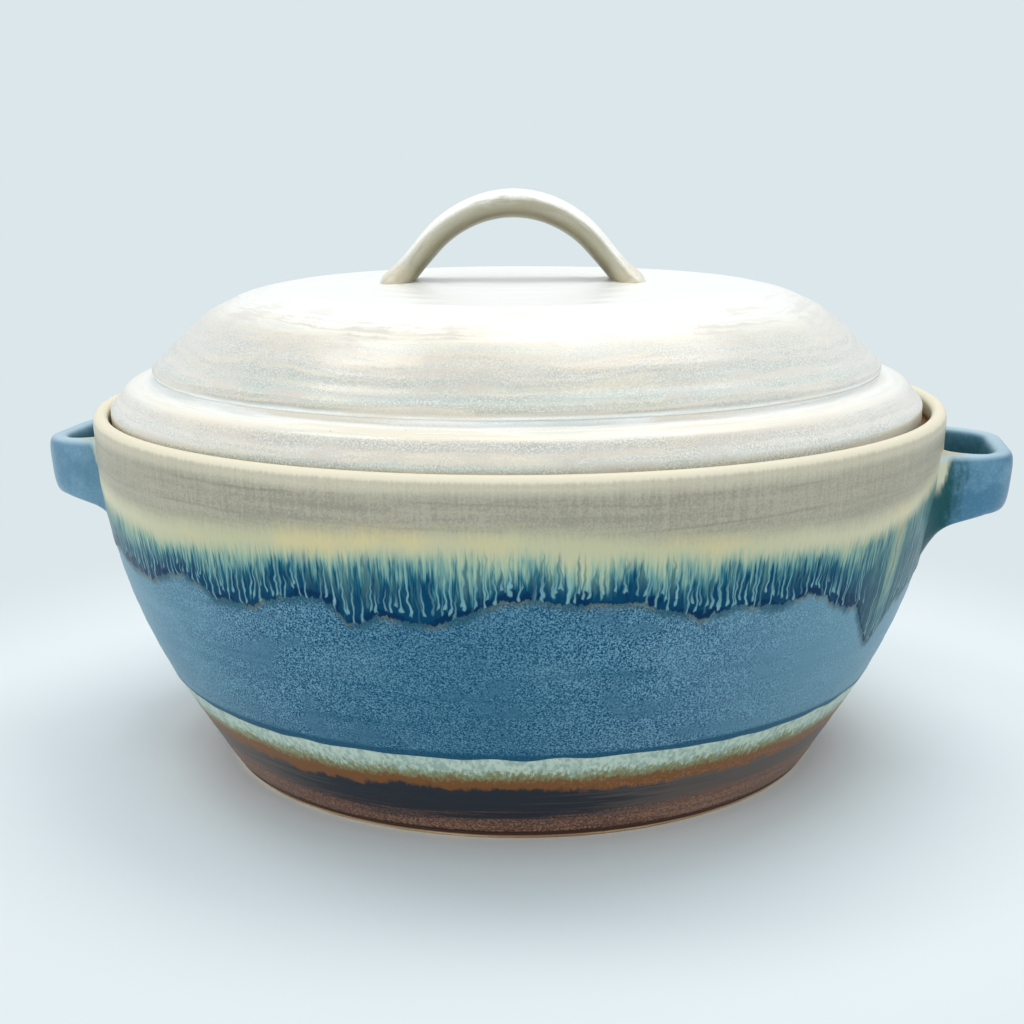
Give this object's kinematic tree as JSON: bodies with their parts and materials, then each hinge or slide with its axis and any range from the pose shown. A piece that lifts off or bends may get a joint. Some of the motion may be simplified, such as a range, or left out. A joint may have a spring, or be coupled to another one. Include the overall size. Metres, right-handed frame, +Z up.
{
  "type": "dutch oven",
  "caption": "Round footed casserole pot with a lift-off domed lid in a rim gallery, two strap side handles and an arched lid handle.",
  "frame": {"origin": "centre of the foot, on the surface the pot stands on", "axes": "+Z up; X through the two side handles; -Y is the side that the picture shows, with handle_right at +X"},
  "size_m": [0.3468, 0.3, 0.1985],
  "materials": {
    "bare_clay": "matte unglazed stoneware",
    "cream_glaze": "satin cream glaze with thrown bands, running to teal and navy at its lower edge",
    "blue_glaze": "satin speckled blue glaze",
    "handle_glaze": "satin steel-blue glaze",
    "foot_glaze": "glossy brown-black glaze with rust breaks",
    "lid_glaze": "satin cream-white glaze with grey-blue and beige thrown bands",
    "lid_handle_glaze": "satin beige glaze",
    "liner_glaze": "satin cream liner glaze"
  },
  "bodies": {
    "pot": {"pot_body": "bare_clay", "handle_right": "handle_glaze", "handle_left": "handle_glaze", "pot_cream_glaze": "cream_glaze", "pot_blue_glaze": "blue_glaze", "pot_foot_glaze": "foot_glaze", "pot_liner_glaze": "liner_glaze"},
    "lid": {"lid_body": "bare_clay", "lid_handle": "lid_handle_glaze", "lid_glaze": "lid_glaze", "lid_liner_glaze": "liner_glaze"}
  },
  "joints": [
    {"name": "lid_lift", "type": "slide", "parent": "pot", "child": "lid", "axis": [0, 0, 1], "range_m": [0, 0.2]}
  ]
}
